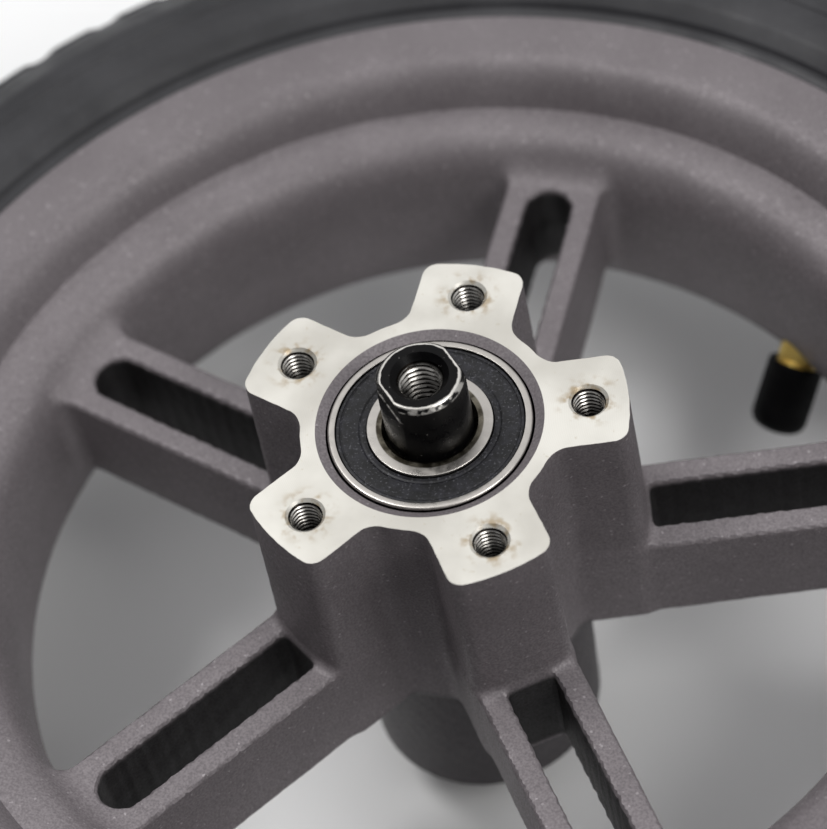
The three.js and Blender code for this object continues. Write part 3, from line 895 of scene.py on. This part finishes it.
def tyre_cover():
    """The tyre: bead, rim rib, sidewall with moulded lines, and a crown with grooves and side cuts."""
    wall = rounded(
        [
            (106, 15.2, 0), (101.9, 14.8, 1.0), (101.9, 21.7, 0.8), (109.1, 21.7, 0.3),
            (109.2, 23.9, 0.5), (110.9, 24.6, 0.5), (111.4, 23.7, 0.3), (112.2, 25.1, 0.6),
            (115.2, 27.1, 3), (118.6, TYRE_HALF, 4), (122.0, 27.8, 0.3), (122.3, 28.2, 0.2),
            (123.0, 28.1, 0.2), (123.3, 27.5, 0.3), (128, 26.3, 8), (134, 22.9, 8), (137.6, 20.0, 0.6),
        ],
        closed=False,
    )
    crown = bezier((138.2, 20.1), (144.2, 14.6), (TYRE_R, 7.0), (TYRE_R, 0), 30)
    inner = [
        (143.4, 0), (142.2, 6), (138, 14), (133, 18.6), (128, 21.8), (122, 23.2), (117, 23.2), (110, 18.5),
    ]
    half = [*inner, *wall, *crown]
    ring = half[::-1] + [(r, -z) for r, z in half if z > 0]
    rows = np.array(ring, float)
    turn = np.arange(TYRE_SEGMENTS) * 2 * math.pi / TYRE_SEGMENTS
    radius, t = np.meshgrid(rows[:, 0], turn, indexing="ij")
    height = np.repeat(rows[:, 1:], TYRE_SEGMENTS, 1)
    outer = (radius > 138.0) & ((radius > 143.6) | (np.abs(height) > 14.3))
    weave = 0.6 * np.sin(t * SIDE_CUTS)
    groove = np.exp(-((np.abs(height) - 6.2 - weave) ** 4))
    middle = np.exp(-((height / 0.8) ** 4))
    past_cut = (t * SIDE_CUTS / (2 * math.pi) + 0.25) % 1 - 0.5
    side = np.exp(-((past_cut / 0.14) ** 4)) * (np.abs(height) > 9.5)
    depth = GROOVE_DEPTH * np.maximum(np.maximum(groove, 0.7 * middle), 0.9 * side)
    slope = np.clip(np.abs(height) / 30, 0, 0.7)
    radius = radius - outer * depth * np.sqrt(1 - slope**2)
    height = height - outer * depth * slope * np.sign(height)
    faces = grid_faces(len(rows), TYRE_SEGMENTS, True)
    piece = new_piece("tyre_cover", spin(radius, height, t), faces, 40)
    return stand_for(piece, "tyre", "tyre_rubber", TYRE)


def tube():
    """The inner tube, a thin hollow ring with an air hole at the valve's foot."""
    skins = []
    for shrink in (0.0, 1.2):
        skins.append(
            rounded(
                [
                    (88.2 + shrink, 7 - shrink, 2), (104, 12.2 - shrink, 5), (117, 21 - shrink, 5),
                    (127, 19.4 - shrink, 6), (140.4 - shrink, 5, 4), (140.4 - shrink, -5, 4),
                    (127, -19.4 + shrink, 6), (117, -21 + shrink, 5), (104, -12.2 + shrink, 5),
                    (88.2 + shrink, -7 + shrink, 2),
                ],
                steps=6,
            )
        )
    piece = turned("tube", skins[0], 192)
    combine(piece, turned("tube_air", skins[1], 192))
    hole = rod("air_hole", AIR_HOLE_R, FOOT_LENGTH, FOOT_LENGTH + 7, 24)
    combine(piece, place(hole, foot_matrix()))
    tidy(piece)
    return stand_for(piece, "inner_tube", "tube_rubber", TUBE)


# ---- axle set ---------------------------------------------------------------


def axle_bar():
    """The dead axle: chamfered ends, two wrench flats and an M8 thread at each end."""
    upper = rounded(
        [
            (0, AXLE_HALF, 0), (AXLE_R - TIP_CHAMFER, AXLE_HALF, 0.12),
            (AXLE_R, AXLE_HALF - TIP_CHAMFER, 0.12), (AXLE_R, 0, 0),
        ],
        closed=False,
        steps=3,
    )
    outline = [tuple(p) for p in upper] + [(r, -z) for r, z in list(upper)[::-1][1:]]
    piece = turned("axle_bar", outline, 128)
    flat_size = (4, 20, FLAT_LENGTH + 1)
    flat_centre = (FLAT_HALF_W + 2, 0, AXLE_HALF + (1 - FLAT_LENGTH) / 2)
    for end in (1, -1):
        for side in (0, math.pi):
            cut = block("flat", flat_size, flat_centre)
            turn = Matrix.Rotation(FLAT_TURN * end + side, 4, "Z")
            combine(piece, place(cut, turn if end > 0 else turn @ Matrix.Rotation(math.pi, 4, "X")))
        combine(piece, axle_thread(end))
    tidy(piece)
    stand_for(piece, "axle", "axle_steel", OXIDE, AXLE_THREAD)
    paint(piece, [is_axle_thread])


def is_axle_thread(centre, normal):
    """The walls of the tapped holes, below their mouths."""
    radius = np.hypot(centre[:, 0], centre[:, 1])
    return (radius < 3.98) & (np.abs(centre[:, 2]) < AXLE_HALF - 0.3)


def axle_thread(end):
    """The M8 tapped hole in one end, with its coned mouth."""
    bottom, top = AXLE_HALF - 20, AXLE_HALF + 1.0

    def radius(z, turn):
        sink = AXLE_MOUTH_R + 0.9 * (z - AXLE_HALF)
        thread = 3.35 + 0.68 * tooth(z, turn, 1.25, bottom)
        return np.maximum(thread, np.where(z > AXLE_HALF - 2, sink, 0))

    hole = spun("axle_thread", np.linspace(bottom, top, 151), radius, 56)
    return hole if end > 0 else place(hole, Matrix.Rotation(math.pi, 4, "X"))


def sleeve():
    """The spacer between the inner rings, with chamfered ends."""
    half = BEARING_Z - BEARING_HALF - 0.05
    bore = AXLE_R + 0.2
    outline = rounded([(bore, -half, 0.4), (10, -half, 0.4), (10, half, 0.4), (bore, half, 0.4)])
    return stand_for(turned("sleeve", outline, 96), "spacer_sleeve", "plated_steel", ZINC)


# ---- bearings ---------------------------------------------------------------


def race_arc(side, steps=9):
    """The ball groove's section, from the lower shoulder to the upper one."""
    turns = np.linspace(-0.95, 0.95, steps)
    size = BALL_R + 0.12
    return [(PITCH_R + side * size * math.cos(t), size * math.sin(t), 0) for t in turns]


def outer_ring():
    """The outer ring's section, with seal steps and a ball groove."""
    half = BEARING_HALF
    corners = [
        (BEARING_R, -half, 0.45), (BEARING_R, half, 0.45), (OUTER_LAND_R + 0.02, half, 0.12),
        (OUTER_LAND_R, 4.2, 0.1), (15.2, 4.0, 0.1), *race_arc(1)[::-1], (15.2, -4.0, 0.1),
        (OUTER_LAND_R, -4.2, 0.1), (OUTER_LAND_R + 0.02, -half, 0.12),
    ]
    return rounded(corners)


def inner_ring():
    """The inner ring's section, with a chamfered bore and a ball groove."""
    half = BEARING_HALF
    bore = AXLE_R + 0.05
    corners = [
        (bore, -half + 0.7, 0.15), (bore + 0.7, -half, 0.15), (INNER_LAND_R, -half, 0.15),
        (INNER_LAND_R, -4.2, 0.1), (10.6, -3.6, 0.1), *race_arc(-1), (10.6, 3.6, 0.1),
        (INNER_LAND_R, 4.2, 0.1), (INNER_LAND_R, half, 0.15), (bore + 0.7, half, 0.15),
        (bore, half - 0.7, 0.15),
    ]
    return rounded(corners)


def seal_disc():
    """A rubber seal: a raised edge bead, a groove, a flat web and a thin inner lip."""
    corners = [
        (INNER_LAND_R + 0.12, 4.45, 0.1), (OUTER_LAND_R - 0.1, 4.45, 0.1),
        (OUTER_LAND_R - 0.1, 5.15, 0.2), (15.55, 5.2, 0.15), (15.35, 4.98, 0.1), (15.1, 5.12, 0.15),
        (12.3, 5.12, 0.15), (11.95, 4.9, 0.1), (11.6, 5.0, 0.12), (INNER_LAND_R + 0.12, 4.95, 0.12),
    ]
    return rounded(corners)


def cage_shell():
    """The pressed cage: a ring with a round pocket for each ball."""
    corners = [(12.1, -3.6, 0.3), (13.35, -3.6, 0.3), (13.35, 3.6, 0.3), (12.1, 3.6, 0.3)]
    piece = turned("cage", rounded(corners), 144)
    outwards = Matrix.Rotation(math.pi / 2, 4, "Y")
    for k in range(BALLS):
        turn = Matrix.Rotation(k * 2 * math.pi / BALLS, 4, "Z")
        combine(piece, place(rod("pocket", BALL_R + 0.2, 9, 17, 32), turn @ outwards))
    tidy(piece)
    return piece


def ball(name):
    """A bearing ball with the faint polished band it runs on."""
    turns = np.linspace(-math.pi / 2, math.pi / 2, 29)
    outline = []
    for t in turns:
        size = BALL_R - 0.012 * math.exp(-((t / 0.25) ** 4))
        outline.append((max(size * math.cos(t), 0), size * math.sin(t)))
    outline[0] = (0, outline[0][1])
    outline[-1] = (0, outline[-1][1])
    return turned(name, outline, 40, 60)


def bearing(side):
    """One whole bearing: rings, seals, cage and balls. The far one is the near one turned over."""
    up = 1 if side == "near" else -1
    lift = Matrix.Translation((0, 0, up * BEARING_Z * MM))
    flip = Matrix.Rotation(math.pi, 4, "X")
    facing = lift if up > 0 else lift @ flip
    parts = [
        ("outer_ring", outer_ring(), facing, "bearing_steel", RING_STEEL),
        ("inner_ring", inner_ring(), facing, "bearing_steel", RING_STEEL),
        ("face_seal", seal_disc(), facing, "seal_rubber", SEAL),
        ("back_seal", seal_disc(), facing @ flip, "seal_rubber", SEAL),
    ]
    for part, outline, matrix, slot, material in parts:
        piece = place(turned(f"{side}_{part}", outline, 128), matrix)
        stand_for(piece, f"{part}_{side}", slot, material)
    cage = place(cage_shell(), lift)
    cage.name = f"{side}_cage"
    stand_for(cage, f"ball_cage_{side}", "plated_steel", ZINC)
    for k in range(BALLS):
        turn = k * 2 * math.pi / BALLS
        shift = Matrix.Translation((PITCH_R * MM * math.cos(turn), PITCH_R * MM * math.sin(turn), 0))
        piece = place(ball(f"{side}_ball_{k + 1}"), lift @ shift)
        stand_for(piece, f"ball_{side}_{k + 1}", "bearing_steel", BALL_STEEL)


# ---- valve ------------------------------------------------------------------


def from_bend(direction):
    """Takes the origin to the valve's bend and +Z to a direction."""
    return Matrix.Translation(VALVE_BEND * MM) @ direction.to_track_quat("Z", "Y").to_matrix().to_4x4()


def leg_matrix():
    """Takes +Z to the stem's threaded leg."""
    return from_bend(VALVE_AXIS)


def foot_matrix():
    """Takes +Z to the stem's foot, which points out through the rim."""
    out, up = math.cos(FOOT_TILT), math.sin(FOOT_TILT)
    return from_bend(Vector((out * math.cos(VALVE_TURN), out * math.sin(VALVE_TURN), up)))


def elbow(size):
    """A ball of this radius at the valve's bend."""
    turns = np.linspace(-math.pi / 2, math.pi / 2, 25)
    outline = [(size * math.cos(t), size * math.sin(t)) for t in turns]
    outline[0], outline[-1] = (0, -size), (0, size)
    return place(turned("elbow", outline, 48, 60), Matrix.Translation(VALVE_BEND * MM))


def stem():
    """The brass stem: a straight foot through the rim, an elbow and a threaded leg."""
    thread_from, thread_to = 4.2, STEM_TIP

    def radius(z, turn):
        cut = 0.32 * (1 - tooth(z, turn, 0.8, thread_from))
        on = np.clip((z - thread_from) / 0.8, 0, 1) * np.clip((thread_to - z) / 0.5, 0.6, 1)
        tip = np.clip((z - STEM_TIP + 0.5) / 0.5, 0, 1) * 0.35
        return STEM_R - cut * on - tip

    leg = place(spun("stem", np.linspace(0, STEM_TIP, 160), radius, 48), leg_matrix())
    foot = [
        (0, 0), (STEM_R, 0), (STEM_R, FOOT_LENGTH - 0.3), (STEM_R - 0.3, FOOT_LENGTH), (0, FOOT_LENGTH),
    ]
    combine(leg, elbow(STEM_R), "UNION")
    combine(leg, place(turned("foot", foot, 48), foot_matrix()), "UNION")
    combine(leg, place(rod("airway", AIRWAY_R, -0.4, FOOT_LENGTH + 1, 32), foot_matrix()))
    bore = [
        (0, -0.5), (AIRWAY_R, -0.5), (AIRWAY_R, 6), (2.3, 6.8), (2.3, STEM_TIP + 1), (0, STEM_TIP + 1),
    ]
    combine(leg, place(turned("core_bore", bore, 40), leg_matrix()))
    tidy(leg, 40)
    return stand_for(leg, "valve_stem", "valve_brass", BRASS)


def core():
    """The valve core's threaded body with a through hole for its pin."""

    def radius(z, turn):
        return 2.0 - 0.18 * (1 - tooth(z, turn, 0.7)) * (z > STEM_TIP - 4)

    piece = spun("core", np.linspace(8, STEM_TIP - 1, 70), radius, 36)
    combine(piece, rod("core_hole", 0.9, 7, STEM_TIP, 24))
    tidy(piece, 40)
    return stand_for(place(piece, leg_matrix()), "valve_core", "valve_brass", BRASS)


def pin():
    """The spring pin, with a rounded head."""
    corners = [
        (0, 7.4, 0), (0.55, 7.4, 0.15), (0.55, 13.6, 0.1), (0.42, 13.8, 0.05), (0.42, 14.3, 0.05),
        (0.55, 14.5, 0.1), (0.55, 15, 0.2), (0, 15, 0),
    ]
    piece = turned("pin", rounded(corners, closed=False), 32)
    return stand_for(place(piece, leg_matrix()), "valve_pin", "valve_brass", BRASS)


def cap():
    """The plastic cap: fine grip ribs round its lower half and a domed end."""
    end = CAP_MOUTH + CAP_LENGTH
    dome = bezier((CAP_R - 0.02, end - 3.2), (CAP_R - 0.05, end - 0.9), (CAP_R - 1.9, end), (0, end), 16)
    rows = [(CAP_R - 0.3, CAP_MOUTH), (CAP_R - 0.08, CAP_MOUTH + 0.12), (CAP_R, CAP_MOUTH + 0.4)]
    rows += [(CAP_R, z) for z in np.linspace(CAP_MOUTH + 1, end - 3.6, 18)]
    rows += [tuple(p) for p in dome[:-1]]
    rows = np.array(rows)

    def radius(z, turn):
        base = np.interp(z, rows[:, 1], rows[:, 0])
        ribbed = np.clip((z - CAP_MOUTH - 1.4) / 0.8, 0, 1) * np.clip((end - 4.4 - z) / 0.8, 0, 1)
        return base - 0.1 * ribbed * (0.5 + 0.5 * np.cos(turn * 36))

    piece = spun("cap", rows[:, 1], radius, 216)
    bore = STEM_R + 0.3
    floor = STEM_TIP + 1.2
    hole = rounded(
        [
            (0, CAP_MOUTH - 1, 0), (bore + 0.4, CAP_MOUTH - 1, 0), (bore + 0.4, CAP_MOUTH + 0.1, 0),
            (bore, CAP_MOUTH + 0.5, 0), (bore, floor, 0.5), (0, floor, 0),
        ],
        closed=False,
    )
    combine(piece, turned("cap_bore", hole, 64))
    tidy(piece, 40)
    return stand_for(place(piece, leg_matrix()), "valve_cap", "cap_plastic", PLASTIC)


def grommet():
    """The rubber bush round the stem's foot, grooved round its middle."""
    inner, outer, low, high = STEM_R + 0.3, VALVE_HOLE_R - 0.3, GROMMET_FROM, GROMMET_TO
    groove = (low + high) / 2
    corners = [
        (inner, low, 0.2), (outer, low, 0.3), (outer, groove - 0.5, 0.1),
        (outer - 0.25, groove - 0.3, 0.1), (outer - 0.25, groove + 0.3, 0.1),
        (outer, groove + 0.5, 0.1), (outer, high, 0.3), (inner, high, 0.2),
    ]
    piece = place(turned("grommet", rounded(corners), 64), foot_matrix())
    return stand_for(piece, "valve_grommet", "tube_rubber", TUBE)


# ---- stage ------------------------------------------------------------------


def floor():
    """A wide pale floor just under the axle's end."""
    side, drop = 3000.0, AXLE_HALF + 0.4
    corners = [(-side, -side, -drop), (side, -side, -drop), (side, side, -drop), (-side, side, -drop)]
    piece = new_piece("floor", corners, [(0, 1, 2, 3)])
    piece.data.materials.append(floor_look().material)


def soft_light(name, place_mm, size_mm, watts, colour):
    """A round soft light that looks at the wheel's centre."""
    lamp = bpy.data.lights.new(name, "AREA")
    lamp.shape = "DISK"
    lamp.size = size_mm * MM
    lamp.energy = watts
    lamp.color = colour
    holder = new_object(name, lamp)
    holder.location = Vector(place_mm) * MM
    holder.rotation_euler = (-Vector(place_mm)).to_track_quat("-Z", "Y").to_euler()


def surroundings():
    """A room dark low down and bright overhead, with a large soft light and a smaller one."""
    world = bpy.data.worlds.new("studio")
    bpy.context.scene.world = world
    world.use_nodes = True
    nodes, links = world.node_tree.nodes, world.node_tree.links
    background = nodes["Background"]
    background.inputs["Color"].default_value = (0.99, 0.99, 0.995, 1)
    lean = nodes.new("ShaderNodeVectorMath")
    lean.operation = "DOT_PRODUCT"
    lean.inputs[1].default_value = (0.12, 0.38, 0.92)
    rise = nodes.new("ShaderNodeMapRange")
    rise.interpolation_type = "SMOOTHSTEP"
    for socket, value in zip(list(rise.inputs)[1:5], (0.12, 0.88, 0.04, 1.0)):
        socket.default_value = value
    links.new(nodes.new("ShaderNodeTexCoord").outputs["Generated"], lean.inputs[0])
    links.new(lean.outputs["Value"], rise.inputs["Value"])
    links.new(rise.outputs[0], background.inputs["Strength"])
    soft_light("right", (860, -380, 980), 600, 7.0, (1.0, 0.99, 0.97))
    soft_light("left", (-600, 60, 1250), 450, 6.0, (1.0, 0.99, 0.98))


CAMERA_AT = Vector((137.0, -302.4, 488.2))
CAMERA_RIGHT = Vector((0.95973, 0.24726, -0.13334))
CAMERA_UP = Vector((-0.12509, 0.80114, 0.58525))
FOCAL_LENGTH = 143.65
SENSOR_WIDTH = 36.0
F_STOP = 14.0


def camera():
    """A long lens above the hub, focused on its machined face."""
    data = bpy.data.cameras.new("camera")
    data.sensor_fit = "HORIZONTAL"
    data.sensor_width = SENSOR_WIDTH
    data.lens = FOCAL_LENGTH
    data.clip_start, data.clip_end = 0.01, 50
    focus = new_object("focus", None)
    focus.location = (0, 0, HUB_HALF * MM)
    data.dof.use_dof = True
    data.dof.focus_object = focus
    data.dof.aperture_fstop = F_STOP
    holder = new_object("camera", data)
    right = CAMERA_RIGHT.normalized()
    back = right.cross(CAMERA_UP).normalized()
    up = back.cross(right)
    turn = Matrix((right, up, back)).transposed().to_4x4()
    holder.matrix_world = Matrix.Translation(CAMERA_AT * MM) @ turn
    bpy.context.scene.camera = holder


bpy.context.scene.view_settings.view_transform = "Standard"
wheel_casting()
tyre_cover()
tube()
axle_bar()
sleeve()
bearing("near")
bearing("far")
stem()
core()
pin()
cap()
grommet()
floor()
surroundings()
camera()
